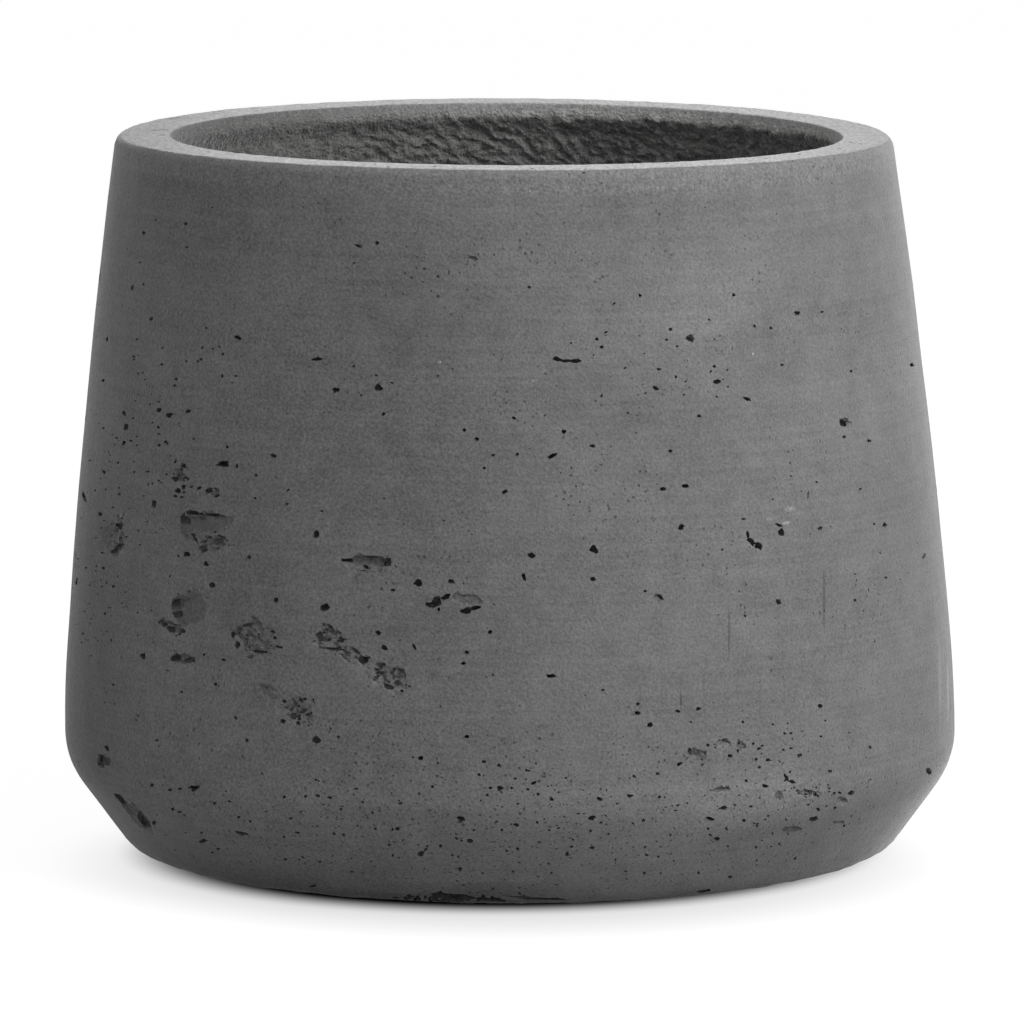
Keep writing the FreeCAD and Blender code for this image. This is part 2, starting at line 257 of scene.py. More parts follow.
# The rest of the wall gets hollows, pits and pores of the same kinds, by seeded chance between two limits
SEED = 7
FRONT_HALF_ANGLE = math.radians(78)
BACK_DISHES = 16
BACK_DISH_LEVELS = (FOOT_Z + 45 * MM, RIM_Z - 50 * MM)
BACK_DISH_WIDTHS = mm(6, 15)
BACK_DISH_DEPTHS = mm(0.6, 2.2)
BACK_DISH_CRUMBS = mm(0.2, 1.1)
DEEP_SIDES = (45, 180)
BACK_BITES = 34
BACK_BITE_WIDTHS = mm(2.5, 7)
BACK_BITE_DEPTHS = mm(1.4, 3.2)
BACK_PITS = 170
BACK_PIT_WIDTHS = mm(1.1, 2.6)
BACK_PIT_DEPTHS = mm(0.8, 1.6)
BACK_PIT_LEVELS = (FOOT_Z + 8 * MM, RIM_Z - 30 * MM)
PORES = 1000
PORE_LEVELS = (FOOT_Z + 4 * MM, RIM_Z - 5 * MM)
PORE_DRIFT = 60 * MM
RIM_PITS = 60
RIM_PIT_RADII = (MOUTH_R + 2 * MM, RIM_R - 2.5 * MM)
RIM_PIT_WIDTHS = mm(0.6, 1.6)
PIT_TURNS = (-30, 30)
CLUSTER_TURNS = (-40, 40)
CHANCE_TURNS = (-0.6, 0.6)
LONGEST_AXIS = 3.0
SHARP_ANGLE = math.radians(38)
NOISE_SHIFT = Vector((3.7, 1.3, 2.9))
NOISE_STEP = 0.61

# A bite is a rough ball sunk into the wall, meshed finer above each of some widths. A dish is a slab with a
# rough floor that is steep on its deep side. Pits are bites, as deep as a share of their width and height in
# the photo's frame.
PIT_DEPTH = 0.17 * MM
BITE_WIDTHS = mm(1.25, 2.6, 5.5, 9.0)
BITE_WAVES = 1.4
BITE_ROUGHNESS = 0.5
BITE_SINK = 0.3
BITE_ROOM = 1.45
DISH_CELL = 0.5 * MM
DISH_STEPS = (8, 30)
DISH_GRAIN = 0.3
CRUMB_GRAIN = 1.9 * MM
CRUMB_EDGE = (-0.05, 0.5)
DISH_RAGGED = 0.45
DISH_ROOM = 1.3
DISH_GENTLE = 0.2
DISH_WAVES = 0.25
DISH_EDGE = (0.75, 1.0)
DISH_RISE_EDGE = (0.85, 1.1)
# Shares of a dish's depth above which its floor takes the darker looks, as painted shade
DISH_DARK = 0.8
DISH_BARE = 0.3
DISH_RISE = 0.6 * MM
DISH_LID = 2.0 * MM

Bite = namedtuple("Bite", "place axes reach fineness")
Dish = namedtuple("Dish", "place axes reach deep crumbs")

# Places of the shell's materials: its skin, the floors of the dishes, and what is broken open deep, whose
# dark colour is partly painted shade
SKIN_LOOK, DISH_LOOK, DARK_LOOK = range(3)

# Smudges, scratches and broad paler or darker patches in the photo's frame: across, down, width, height, and
# how much paler they are. The last two are painted shade on the undercut's left and along the foot's lower
# edge. They reach a depth into the wall, because it is curved.
MARK_DEPTH = 20 * MM
MARKS = [
    (790, 509, 15, 7, 0.10), (786, 523, 12, 5, 0.10), (769, 519, 9, 5, 0.06), (753, 354, 4, 4, 0.2),
    (440, 362, 4, 3, 0.2), (533, 381, 3, 3, 0.2), (729, 632, 3, 80, -0.06), (824, 600, 4, 90, -0.05),
    (681, 700, 3, 26, -0.07), (940, 680, 6, 110, 0.06), (948, 690, 4, 90, 0.09), (266, 694, 18, 20, 0.02),
    (640, 700, 3, 50, -0.03), (662, 690, 2, 60, -0.03), (704, 690, 2, 70, -0.03), (760, 690, 3, 90, -0.02),
    (420, 300, 240, 170, -0.026), (600, 400, 130, 110, -0.018), (465, 640, 220, 120, -0.016),
    (700, 300, 170, 120, 0.02), (745, 800, 280, 90, 0.03), (280, 795, 170, 70, 0.02),
    # The last two here darken the undercut on the left and the foot's lower edge: painted shade
    (660, 842, 230, 60, 0.02), (125, 836, 80, 70, -0.045), (505, 890, 180, 24, -0.035),
]

# Dust, which shows as a sheen, and the faint shine of cement and rubber
DUST = 0.6
RUBBER_DUST = 0.1
DUST_ROUGHNESS = 0.2
SHINE = 0.3

# The lights: to the camera's right and up in degrees, distance and size in metres, and watts
SOFTBOXES = {
    "key": (60, 40, 1.3, 0.8, 15),
    "front": (0, 25, 1.6, 1.0, 2.8),
    "back": (153, 6, 1.7, 0.5, 8),
}

# What light comes from all around, and how the floor looks where it is seen. It glows all over but for a
# painted shadow around the pot, which lies a little towards the camera and has a dark core and a wide faint
# edge; the pot's real shadow shows only faintly on it.
WORLD_LIGHT = 0.36
FLOOR_HALF = 8.0
FLOOR_ROUGHNESS = 0.9
FLOOR_BOUNCE = 0.5
FLOOR_SHADE = 0.12
FLOOR_GLOW = 0.95
PAINTED_SHADOW_CORE_AT = Vector((-3.5 * MM, -14 * MM, 0))
PAINTED_SHADOW_CORE = mm(98.5, 121.5)
PAINTED_SHADOW_EDGE_AT = Vector((0, -40 * MM, 0))
PAINTED_SHADOW_EDGE = mm(85, 153)
PAINTED_SHADOW_EDGE_SHARE = 0.3

# Hand-made unevenness: the lining's swelling up to the lip, the lean of the whole pot, how much lower the rim
# is on the right and at both sides and how much higher at the back, and the mouth's place in the rim
LINING_SWELL = 1.9 * MM
LINING_SWELL_DEPTH = 7 * MM
SWAY = -0.0095
SWAY_LEVEL = FOOT_Z + 100 * MM
SWAY_FREE_R = 45 * MM
SWAY_FULL_R = 85 * MM
RIM_TILT = -0.36 * MM
RIM_SIDES_LOW = 0.6 * MM
RIM_BACK_HIGH = 0.45 * MM
RIM_WAVE_Z = RIM_Z - 80 * MM
MOUTH_SHIFT = Vector((0.8 * MM, -1.2 * MM, 0))
MOUTH_SHIFT_Z = (RIM_Z - 70 * MM, RIM_Z - 20 * MM)
MOUTH_SHIFT_R = (MOUTH_R + 1 * MM, MOUTH_R + 12 * MM)
MOUTH_SHRINK = 0.5 * MM
RIM_CENTRE = Vector((SWAY * (RIM_Z - SWAY_LEVEL), 0, 0))

# Relief: how dense and high the waves and chips of the lip's lower edge are, how the lining's ledges and
# clods slant and are drawn out, their sizes and heights, where they are calm or rough, sizes and heights of
# the waves in wall, foot and rim, and how far a face has to turn out or in to be roughened
LIP_WAVES = (7, 1.3 * MM)
LIP_CHIPS = (42, 0.25 * MM)
SLANT = (0.87, 0.5)
SLANT_STRETCH = (1.7, 1.5)
LEDGES = mm(4.5, 0.95)
CLODS = mm(1.9, 0.65)
CRUMBS = mm(1.6, 0.12)
CRUMB_STRETCH = 2.5
CALM_LEFT = 0.15
CALM_LEFT_X = mm(-75, -25)
ROUGH_RIGHT = 0.5
ROUGH_RIGHT_X = mm(20, 80)
SEAT_CALM_R = (SEAT_R + 3 * MM, SEAT_R + 23 * MM)
LIP_CALM = 0.25
LIP_DROP_DEPTH = 3 * MM
WALL_WAVES = mm(40, 0.2)
FOOT_WAVES = mm(6, 0.35)
FOOT_WAVES_Z = FOOT_Z + 5 * MM
RIM_WAVES = mm(4, 0.14)
RIM_WAVES_Z = RIM_Z - 2.5 * MM
LEAST_SLOPE = 0.1

# How light the cement is in its places and how it is tinted, and between which limits its looks change
WALL_TONE = 0.152
BAND_TONE = 0.168
RIM_TONE = 0.46
LIP_TONE = 0.14
LAID_TONE = 0.138
DISH_TONE = 0.13
PIT_TONE = 0.085
CEMENT_TINT = (1.008, 1.0, 1.0)
BROKEN_TINT = (1.01, 1.0, 0.985)
NEUTRAL = (1, 1, 1)
WHITE = (1, 1, 1, 1)
GRAIN = 0.8 * MM
PORE_CELL = 1.9 * MM
GRAINY_X = mm(-90, 30)
POROUS_Z = mm(30, 65)
# Where painted shade darkens the wall low on its left side
PAINTED_SHADE_LEFT_X = mm(-135, -111)
PAINTED_SHADE_LOW_Z = mm(95, 140)
BAND_Z = (RIM_Z - 9 * MM, RIM_Z - 6 * MM)
LIP_LOOK_R = (MOUTH_R + 3 * MM, MOUTH_R + 4 * MM)
LIP_LOOK_Z = (LIP_Z - 7 * MM, LIP_Z - 6 * MM)
RIM_TOP_R = (MOUTH_R - MOUTH_SHRINK + 0.1 * MM, MOUTH_R - MOUTH_SHRINK + 0.4 * MM)
RIM_TOP_Z = (RIM_Z - 4 * MM, RIM_Z - 3 * MM)
# Where the rim's pale top grows darker towards its left and right ends
RIM_DARKER_LEFT_X = mm(-120, -75)
RIM_DARKER_RIGHT_X = mm(75, 120)
# Where painted light makes the lip under the rim paler towards the right
LIP_PAINTED_LIGHT_X = mm(-105, 100)
# Where painted light makes the lining paler towards the right
LAID_PAINTED_LIGHT_X = mm(20, 90)
SMEAR_Z = (LIP_Z - 2.6 * MM, LIP_Z - 0.6 * MM)


def polar(centre, radius, angle):
    """Point of the section plane at an angle on a circle."""
    return centre + radius * Vector((math.cos(angle), 0, math.sin(angle)))


def bend(centre, radius, start, end, steps):
    """Points along an arc of the section plane."""
    return [polar(centre, radius, start + (end - start) * n / steps) for n in range(steps + 1)]


def run(first, last, steps):
    """Points along a straight stretch of the section plane."""
    return [first.lerp(last, n / steps) for n in range(steps + 1)]


def at(radius, level):
    """Point of the section plane."""
    return Vector((radius, 0, level))


def wall_arc():
    """Centre and radius of the long arc that leaves the belly at its lean and passes through the rim."""
    start = polar(at(BELLY_R - BELLY_BEND, BELLY_Z), BELLY_BEND, WALL_LEAN)
    inward = Vector((-math.cos(WALL_LEAN), 0, -math.sin(WALL_LEAN)))
    chord = at(RIM_R, RIM_Z) - start
    radius = chord.dot(chord) / (2 * chord.dot(inward))
    return start + inward * radius, radius


def side(inset, belly_start, top_z, belly_steps, wall_steps):
    """Belly and wall moved inwards by an inset, from an angle on the belly up to a level."""
    wall_centre, wall_radius = wall_arc()
    wall_end = math.asin((top_z - wall_centre.z) / (wall_radius - inset))
    belly_centre = at(BELLY_R - BELLY_BEND, BELLY_Z)
    return (bend(belly_centre, BELLY_BEND - inset, belly_start, WALL_LEAN, belly_steps)
            + bend(wall_centre, wall_radius - inset, WALL_LEAN, wall_end, wall_steps))


def flank(inset, base_z, base_bend, top_z, steps):
    """Section of the pot's outside moved inwards by an inset, from the flat at base_z up to top_z."""
    shoulder_centre = at(BELLY_R - SHOULDER_BEND, BELLY_Z)
    normal = Vector((math.cos(UNDERCUT), 0, -math.sin(UNDERCUT)))
    face = normal.dot(shoulder_centre) + SHOULDER_BEND - inset
    base_centre = at((face - base_bend - normal.z * (base_z + base_bend)) / normal.x, base_z + base_bend)
    low = polar(base_centre, base_bend, -UNDERCUT)
    high = polar(shoulder_centre, SHOULDER_BEND - inset, -UNDERCUT)
    return (bend(base_centre, base_bend, -math.pi / 2, -UNDERCUT, steps[0])
            + run(low, high, steps[1])
            + bend(shoulder_centre, SHOULDER_BEND - inset, -UNDERCUT, 0, steps[2])
            + side(inset, 0, top_z, steps[3], steps[4]))


def rim_edge():
    """Points of the rim's outer bend, from the wall to where the ground flat cuts it."""
    wall_centre, wall_radius = wall_arc()
    reach = wall_radius - RIM_OUTER_BEND
    start = math.asin((RIM_Z - RIM_OUTER_BEND * math.sin(RIM_BEND_END) - wall_centre.z) / reach)
    return bend(polar(wall_centre, reach, start), RIM_OUTER_BEND, start, RIM_BEND_END, RIM_STEPS)


def shell_section():
    """Closed section of the cast shell: outside, rim, lip, inside, drain and underside."""
    edge = rim_edge()
    outside = flank(0, FOOT_Z, FOOT_BEND, edge[0].z, FINE_STEPS)
    inner_centre = at(MOUTH_R + RIM_INNER_BEND, RIM_Z - RIM_INNER_BEND)
    recess_r = outside[0].x - FOOT_RING
    ring_centre = at(recess_r + FOOT_RING_BEND, FOOT_Z + FOOT_RING_BEND)
    inside = flank(SKIN, SKIN_FLOOR_Z, INSIDE_BEND, LIP_Z, COARSE_STEPS)
    return (outside
            + edge
            + run(edge[-1], at(inner_centre.x, RIM_Z), RIM_STEPS)
            + bend(inner_centre, RIM_INNER_BEND, math.pi / 2, math.pi, LIP_STEPS)
            + run(at(MOUTH_R, inner_centre.z), at(MOUTH_R, LIP_Z), LIP_STEPS)
            + inside[::-1]
            + [at(DRAIN_R, SKIN_FLOOR_Z), at(DRAIN_R, RECESS_Z)]
            + run(at(DRAIN_R, RECESS_Z), at(recess_r, RECESS_Z), UNDERSIDE_STEPS)
            + bend(ring_centre, FOOT_RING_BEND, math.pi, 1.5 * math.pi, UNDERSIDE_STEPS))


def lining_section():
    """Closed section of the lining: seat, floor, inside of the wall, and the face that meets the shell."""
    inset = SKIN + LINING
    belly_centre = at(BELLY_R - BELLY_BEND, BELLY_Z)
    reach = BELLY_BEND - inset - FLOOR_BEND
    bend_end = math.asin((FLOOR_Z + FLOOR_BEND - BELLY_Z) / reach)
    floor_centre = polar(belly_centre, reach, bend_end)
    wall = side(inset, bend_end, LIP_Z - SEEN_DEPTH - SEEN_GAP, 1, UNSEEN_STEPS)
    upper = side(inset, bend_end, LIP_Z, 1, SEEN_STEPS)
    upper = [point for point in upper if point.z > LIP_Z - SEEN_DEPTH]
    outside = flank(SKIN, SKIN_FLOOR_Z, INSIDE_BEND, LIP_Z, COARSE_STEPS)
    return ([at(DRAIN_R, SKIN_FLOOR_Z), at(DRAIN_R, SEAT_Z), at(SEAT_R, SEAT_Z)]
            + run(at(SEAT_R, FLOOR_Z - SEAT_EDGE), at(SEAT_R + SEAT_EDGE, FLOOR_Z), 1)
            + run(at(SEAT_R + SEAT_EDGE, FLOOR_Z), at(floor_centre.x, FLOOR_Z), FLOOR_STEPS)
            + bend(floor_centre, FLOOR_BEND, -math.pi / 2, bend_end, FLOOR_BEND_STEPS)
            + wall + upper + outside[::-1])


def turned(points, segments):
    """Closed mesh turned about the pot's axis from a closed section."""
    bm = bmesh.new()
    befores = points[-1:] + points[:-1]
    kept = [point for point, before in zip(points, befores) if (point - before).length > SAME_PLACE]
    verts = [bm.verts.new(point) for point in kept]
    for pair in zip(verts, verts[1:] + verts[:1]):
        bm.edges.new(pair)
    section = piece("section", bm)
    turn = section.modifiers.new("turn", "SCREW")
    turn.steps = turn.render_steps = segments
    turn.use_merge_vertices = True
    turn.merge_threshold = SAME_PLACE
    bm = bmesh.new()
    bm.from_object(section, bpy.context.evaluated_depsgraph_get())
    bpy.data.meshes.remove(section.data)
    bmesh.ops.recalc_face_normals(bm, faces=bm.faces)
    return bm


def piece(name, bm, *materials):
    """Mesh object of a finished bmesh, with its materials."""
    mesh = bpy.data.meshes.new(name)
    bm.to_mesh(mesh)
    bm.free()
    for material in materials:
        mesh.materials.append(material)
    return linked(name, mesh)


def linked(name, data):
    """New object of a mesh, light or camera, in the scene."""
    obj = bpy.data.objects.new(name, data)
    bpy.context.collection.objects.link(obj)
    return obj


def sway(point):
    """How far the hand-made pot is out of true at a point: its lean, its tilted rim and its narrower, shifted
    mouth. The drain in the middle stays true."""
    radius = math.hypot(point.x, point.y)
    lean = SWAY * (point.z - SWAY_LEVEL) * step(SWAY_FREE_R, SWAY_FULL_R, radius)
    mouth = step(*MOUTH_SHIFT_Z, point.z) * (1 - step(*MOUTH_SHIFT_R, radius))
    shift = MOUTH_SHIFT - Vector((point.x, point.y, 0)).normalized() * MOUTH_SHRINK
    across, away = point.x / RIM_R, point.y / RIM_R
    wave = RIM_TILT * across - RIM_SIDES_LOW * across ** 2 + RIM_BACK_HIGH * max(away, 0) ** 2
    return Vector((lean, 0, wave * step(RIM_WAVE_Z, RIM_Z, point.z))) + shift * mouth


def lip_drop(point):
    """How much lower the ragged lower edge of the lip runs at an angle."""
    around = Vector((point.x, point.y, 0)).normalized()
    waves = LIP_WAVES[1] * noise.fractal(around * LIP_WAVES[0], 0.7, 2.2, 5)
    return waves + LIP_CHIPS[1] * noise.noise(around * LIP_CHIPS[0])


def step(low, high, value):
    """0 below low, 1 above high and a smooth step from one to the other."""
    share = min(max((value - low) / (high - low), 0), 1)
    return share * share * (3 - 2 * share)


def crumble(point):
    """How far the hand-laid layer stands proud at a point: fine crumbs all over, and ledges and clods, which
    are low on the left and highest on the right."""
    along = SLANT[0] * point.x - SLANT[1] * point.z
    across = SLANT[1] * point.x + SLANT[0] * point.z
    slanted = Vector((along / SLANT_STRETCH[0], point.y / SLANT_STRETCH[1], across))
    ledges = noise.ridged_multi_fractal(slanted / LEDGES[0], 0.9, 2.1, 5, 0.9, 1.8) - 0.9
    clods = noise.fractal(slanted / CLODS[0], 0.8, 2.0, 3)
    crumbs = noise.fractal(Vector((point.x, point.y / CRUMB_STRETCH, point.z)) / CRUMBS[0], 0.8, 2.0, 2)
    coarse = CALM_LEFT + (1 - CALM_LEFT) * step(*CALM_LEFT_X, point.x)
    coarse += ROUGH_RIGHT * step(*ROUGH_RIGHT_X, point.x)
    return (LEDGES[1] * ledges + CLODS[1] * clods) * coarse + CRUMBS[1] * crumbs


def shell_mesh():
    """The cast shell before its pits: a turned section with the unevenness of a hand-made casting."""
    bm = turned(shell_section(), SHELL_SEGMENTS)
    bm.normal_update()
    lip_top = RIM_Z - RIM_INNER_BEND
    for vert in bm.verts:
        place = vert.co.copy()
        radial = Vector((place.x, place.y, 0))
        radius = radial.length
        if vert.normal.dot(radial) > LEAST_SLOPE * radius:
            vert.co += vert.normal * WALL_WAVES[1] * noise.fractal(place / WALL_WAVES[0], 0.9, 2.0, 3)
            if place.z < FOOT_WAVES_Z:
                vert.co += vert.normal * FOOT_WAVES[1] * noise.fractal(place / FOOT_WAVES[0], 0.8, 2.0, 3)
        if place.z > RIM_WAVES_Z:
            vert.co += vert.normal * RIM_WAVES[1] * noise.fractal(place / RIM_WAVES[0], 0.8, 2.0, 2)
        if radius < RIM_R - SKIN + 1 * MM and LIP_Z - 0.1 * MM < place.z < lip_top + 0.1 * MM:
            vert.co.z -= lip_drop(place) * (lip_top - place.z) / (lip_top - LIP_Z)
        vert.co += sway(place)
    bm.normal_update()
    return bm


def lining_mesh():
    """The lining: a turned section that is roughened inside, and true at the drain and against the shell."""
    bm = turned(lining_section(), LINING_SEGMENTS)
    bm.normal_update()
    for vert in bm.verts:
        place = vert.co.copy()
        radius = math.hypot(place.x, place.y)
        inward = vert.normal.dot(Vector((place.x, place.y, 0))) < -LEAST_SLOPE * radius
        if (inward or vert.normal.z > 0.5) and radius > SEAT_CALM_R[0]:
            below = step(0, LINING_SWELL_DEPTH, LIP_Z - place.z)
            calm = step(*SEAT_CALM_R, radius) * (LIP_CALM + (1 - LIP_CALM) * below)
            vert.co += vert.normal * (crumble(place) * calm + LINING_SWELL * (1 - below))
        if place.z > LIP_Z - LIP_DROP_DEPTH:
            vert.co.z -= lip_drop(place) * (1 - (LIP_Z - place.z) / LIP_DROP_DEPTH)
        vert.co += sway(place)
    bm.normal_update()
    return bm


def photo_ray(across, down):
    """Direction from the camera through a place in the photo's frame."""
    half = PHOTO_SIZE / 2
    return (CAMERA_TURN @ Vector((across - half, half - down, -FOCAL_PIXELS))).normalized()


def fine(width):
    """How finely a bite of a width is meshed."""
    return sum(width > limit for limit in BITE_WIDTHS)


def seen_axes(ray, out, turn):
    """Directions on a face that look level and upright in the photo once they are turned by an angle."""
    axes = []
    for angle in (turn, turn + math.pi / 2):
        way = CAMERA_TURN @ Vector((math.cos(angle), math.sin(angle), 0))
        way -= ray * way.dot(out) / ray.dot(out)
        axes.append(way * min(LONGEST_AXIS / way.length, 1))
    return axes


def bite(place, level, upright, out, depth):
    """Rough ball of two half axes on the wall that reaches a depth into it."""
    sunk = BITE_SINK * depth
    fineness = max(fine(2 * level.length), fine(2 * upright.length))
    reach = max(level.length, upright.length, depth) * BITE_ROOM
    return Bite(place - out * sunk, (level, upright, out * (depth - sunk)), reach, fineness)


def dish(place, level, upright, out, depth, deep, crumbs):
    """Slab of two half axes on the wall that reaches a depth into it, most of it on the deep side."""
    reach = (level.length + upright.length) * DISH_ROOM
    return Dish(place, (level, upright, out * depth), reach, math.radians(deep), crumbs)


def seen_face(wall, across, down, width, height, turn):
    """Place on the wall behind one in the photo's frame, half axes that look as large, and the way out."""
    ray = photo_ray(across, down)
    place, out, _, distance = wall.ray_cast(CAMERA_AT, ray)
    if place is None:
        return None
    half = distance / FOCAL_PIXELS / 2
    level, upright = seen_axes(ray, out, math.radians(turn))
    return place, level * width * half, upright * height * half, out


def chance_face(wall, rng, angle, level, width, height):
    """Place on the wall at an angle and level, half axes about level and upright there, and the way out."""
    radial = Vector((math.cos(angle), math.sin(angle), 0))
    place, out, _, _ = wall.ray_cast(radial * 2 * BELLY_R + Vector((0, 0, level)), -radial)
    turn = Matrix.Rotation(rng.uniform(*CHANCE_TURNS), 3, out)
    along = turn @ Vector((0, 0, 1)).cross(out).normalized()
    return place, along * width / 2, out.cross(along) * height / 2, out


def front_dishes(wall):
    """The hollows that the photo shows."""
    dishes = []
    for *seen, turn, depth, deep, crumbs in DISHES:
        dishes.append(dish(*seen_face(wall, *seen, turn), depth * MM, deep - turn, crumbs * MM))
    return dishes


def front_bites(wall, rng):
    """The bites and pits that the photo shows."""
    seen = [(row[:5], row[5] * MM) for row in BITES]
    seen += [((*row, rng.uniform(*PIT_TURNS)), PIT_DEPTH * (row[2] + row[3])) for row in PITS]
    for across, down, width, height, turn, count, least, most in CLUSTERS:
        turned_by = Matrix.Rotation(math.radians(turn), 2)
        for _ in range(count):
            angle = rng.uniform(0, math.tau)
            away = rng.random() ** 0.5 / 2
            shift = turned_by @ Vector((math.cos(angle) * width, math.sin(angle) * height)) * away
            size = least + (most - least) * rng.random() ** 2
            flat = size * rng.uniform(0.5, 1)
            row = (across + shift.x, down - shift.y, size, flat, rng.uniform(*CLUSTER_TURNS))
            seen.append((row, PIT_DEPTH * (size + flat)))
    faces = [(seen_face(wall, *row), depth) for row, depth in seen]
    return [bite(*face, depth) for face, depth in faces if face]


def back_angle(rng):
    """Angle about the axis on the sides that the photo doesn't show."""
    return math.pi / 2 + rng.uniform(-1, 1) * (math.pi - FRONT_HALF_ANGLE)


def back_dishes(wall, rng):
    """Hollows of the same kinds on the sides that the photo doesn't show."""
    dishes = []
    for _ in range(BACK_DISHES):
        level = rng.uniform(*BACK_DISH_LEVELS)
        width = rng.uniform(*BACK_DISH_WIDTHS)
        face = chance_face(wall, rng, back_angle(rng), level, width, width * rng.uniform(0.35, 0.9))
        depth, deep = rng.uniform(*BACK_DISH_DEPTHS), rng.uniform(*DEEP_SIDES)
        dishes.append(dish(*face, depth, deep, rng.uniform(*BACK_DISH_CRUMBS)))
    return dishes


def back_bites(wall, rng):
    """Bites and pits of the same kinds on the sides that the photo doesn't show."""
    bites = []
    for number in range(BACK_BITES + BACK_PITS):
        level = rng.uniform(*BACK_PIT_LEVELS)
        if number < BACK_BITES:
            width, depth = rng.uniform(*BACK_BITE_WIDTHS), rng.uniform(*BACK_BITE_DEPTHS)
        else:
            width, depth = rng.uniform(*BACK_PIT_WIDTHS), rng.uniform(*BACK_PIT_DEPTHS)
        face = chance_face(wall, rng, back_angle(rng), level, width, width * rng.uniform(0.4, 0.9))
        bites.append(bite(*face, depth))
    return bites


def pore_bites(wall, rng):
    """Small pores all over the wall, more in drifting patches, low down and behind, fewer on the right."""
    bites = []
    while len(bites) < PORES:
        angle = rng.uniform(0, math.tau)
        level = rng.uniform(*PORE_LEVELS)
        width = (0.5 + 0.8 * rng.random() ** 3) * MM
        pore = bite(*chance_face(wall, rng, angle, level, width, width * rng.uniform(0.6, 1)), 0.8 * width)
        drift = noise.fractal(pore.place / PORE_DRIFT, 0.8, 2.0, 3)
        front = max(-pore.place.y / BELLY_R, 0)
        chance = 0.4 + 0.7 * drift + 0.6 * (1 - level / RIM_Z) - 0.5 * front - 1.5 * pore.place.x * front
        if rng.random() < chance:
            bites.append(pore)
    return bites


def rim_bites(rng):
    """Small pits in the rim's flat top."""
    bites = []
    for _ in range(RIM_PITS):
        radius = rng.uniform(*RIM_PIT_RADII)
        angle = rng.uniform(0, math.tau)
        place = Vector((radius * math.cos(angle), radius * math.sin(angle), RIM_Z))
        width = rng.uniform(*RIM_PIT_WIDTHS)
        level, upright = Vector((width / 2, 0, 0)), Vector((0, width * rng.uniform(0.3, 0.7), 0))
        bites.append(bite(place + sway(place), level, upright, Vector((0, 0, 1)), 0.5 * width))
    return bites


def lots(cuts):
    """Bites or dishes sorted into lots in which none touches another."""
    tree = KDTree(len(cuts))
    for index, cut in enumerate(cuts):
        tree.insert(cut.place, index)
    tree.balance()
    furthest = max(cut.reach for cut in cuts)
    numbers = []
    for index, cut in enumerate(cuts):
        near = tree.find_range(cut.place, cut.reach + furthest)
        taken = {numbers[other] for _, other, distance in near
                 if other < index and distance < cut.reach + cuts[other].reach}
        numbers.append(min(set(range(len(taken) + 1)) - taken))
    return [[cut for cut, number in zip(cuts, numbers) if number == lot]
            for lot in range(max(numbers) + 1)]


@functools.cache
def ball(fineness):
    """Points and faces of a ball of triangles; the coarsest is two low pyramids."""
    bm = bmesh.new()
    if fineness:
        bmesh.ops.create_icosphere(bm, subdivisions=fineness, radius=1)
    else:
        bmesh.ops.create_uvsphere(bm, u_segments=5, v_segments=2, radius=1)
    points = [vert.co.copy() for vert in bm.verts]
    faces = [[vert.index for vert in face.verts] for face in bm.faces]
    bm.free()
    return points, faces


def bite_solid(bite, seed):
    """Points, faces and looks of a ball roughened and stretched to the axes of a bite."""
    shift = NOISE_SHIFT * seed
    points, faces = ball(bite.fineness)
    level, upright, out = bite.axes
    rough_points = []
    for point in points:
        rough = point * (1 + BITE_ROUGHNESS * noise.fractal(point * BITE_WAVES + shift, 0.7, 2.2, 4))
        rough_points.append(bite.place + level * rough.x + upright * rough.y + out * rough.z)
    return rough_points, faces, [DARK_LOOK] * len(faces)


def slab(steps):
    """Faces of a closed slab between two square grids of points, with those of its floor first."""
    size = steps + 1
    lid = size * size
    faces = []
    for row in range(steps):
        for column in range(steps):
            corner = row * size + column
            around = [corner, corner + 1, corner + size + 1, corner + size]
            faces.append(around[::-1])
            faces.append([index + lid for index in around])
    edge = list(range(steps))
    edge += [row * size + steps for row in range(steps)]
    edge += [steps * size + column for column in range(steps, 0, -1)]
    edge += [row * size for row in range(steps, 0, -1)]
    for first, last in zip(edge, edge[1:] + edge[:1]):
        faces.append([first, last, last + lid, first + lid])
    return faces


def dish_solid(dish, seed):
    """Points, faces and looks of what a dish takes away: down to a rough floor with a ragged edge and with
    crumbs broken out of it, under a flat lid. Its floor is painted darker where it is deepest, as painted
    shade, and like the skin where it runs out."""
    level, upright, outward = dish.axes
    out = outward.normalized()
    shift = NOISE_SHIFT * seed
    grain = DISH_GRAIN * (level.length + upright.length)
    steps = round(2 * DISH_ROOM * max(level.length, upright.length) / DISH_CELL)
    steps = min(max(steps, DISH_STEPS[0]), DISH_STEPS[1])
    floor, lid, depths = [], [], []
    for row in range(steps + 1):
        for column in range(steps + 1):
            across, up = DISH_ROOM * (2 * column / steps - 1), DISH_ROOM * (2 * row / steps - 1)
            place = level * across + upright * up
            rough = noise.fractal(place / grain + shift, 0.8, 2.0, 4)
            away = math.hypot(across, up) * (1 + DISH_RAGGED * rough)
            lean = (1 + across * math.cos(dish.deep) + up * math.sin(dish.deep)) / 2
            depth = outward.length * (DISH_GENTLE + (1 - DISH_GENTLE) * lean + DISH_WAVES * rough)
            clumps = step(*CRUMB_EDGE, noise.fractal(place / CRUMB_GRAIN - shift, 0.6, 2.0, 4))
            depth += dish.crumbs * (0.3 + 1.2 * lean) * clumps
            depth *= 1 - step(*DISH_EDGE, away)
            depths.append(depth)
            floor.append(dish.place + place + out * (DISH_RISE * step(*DISH_RISE_EDGE, away) - depth))
            lid.append(dish.place + place + out * DISH_LID)
    faces = slab(steps)
    deepest = max(depths)
    looks = []
    for face in faces:
        on_floor = max(face) < len(floor)
        share = sum(depths[index] for index in face) / (len(face) * deepest) if on_floor else 0
        # Painted shade: the deeper a floor face lies, the darker its look
        looks.append(DARK_LOOK if share > DISH_DARK else DISH_LOOK if share > DISH_BARE else SKIN_LOOK)
    return floor + lid, faces, looks


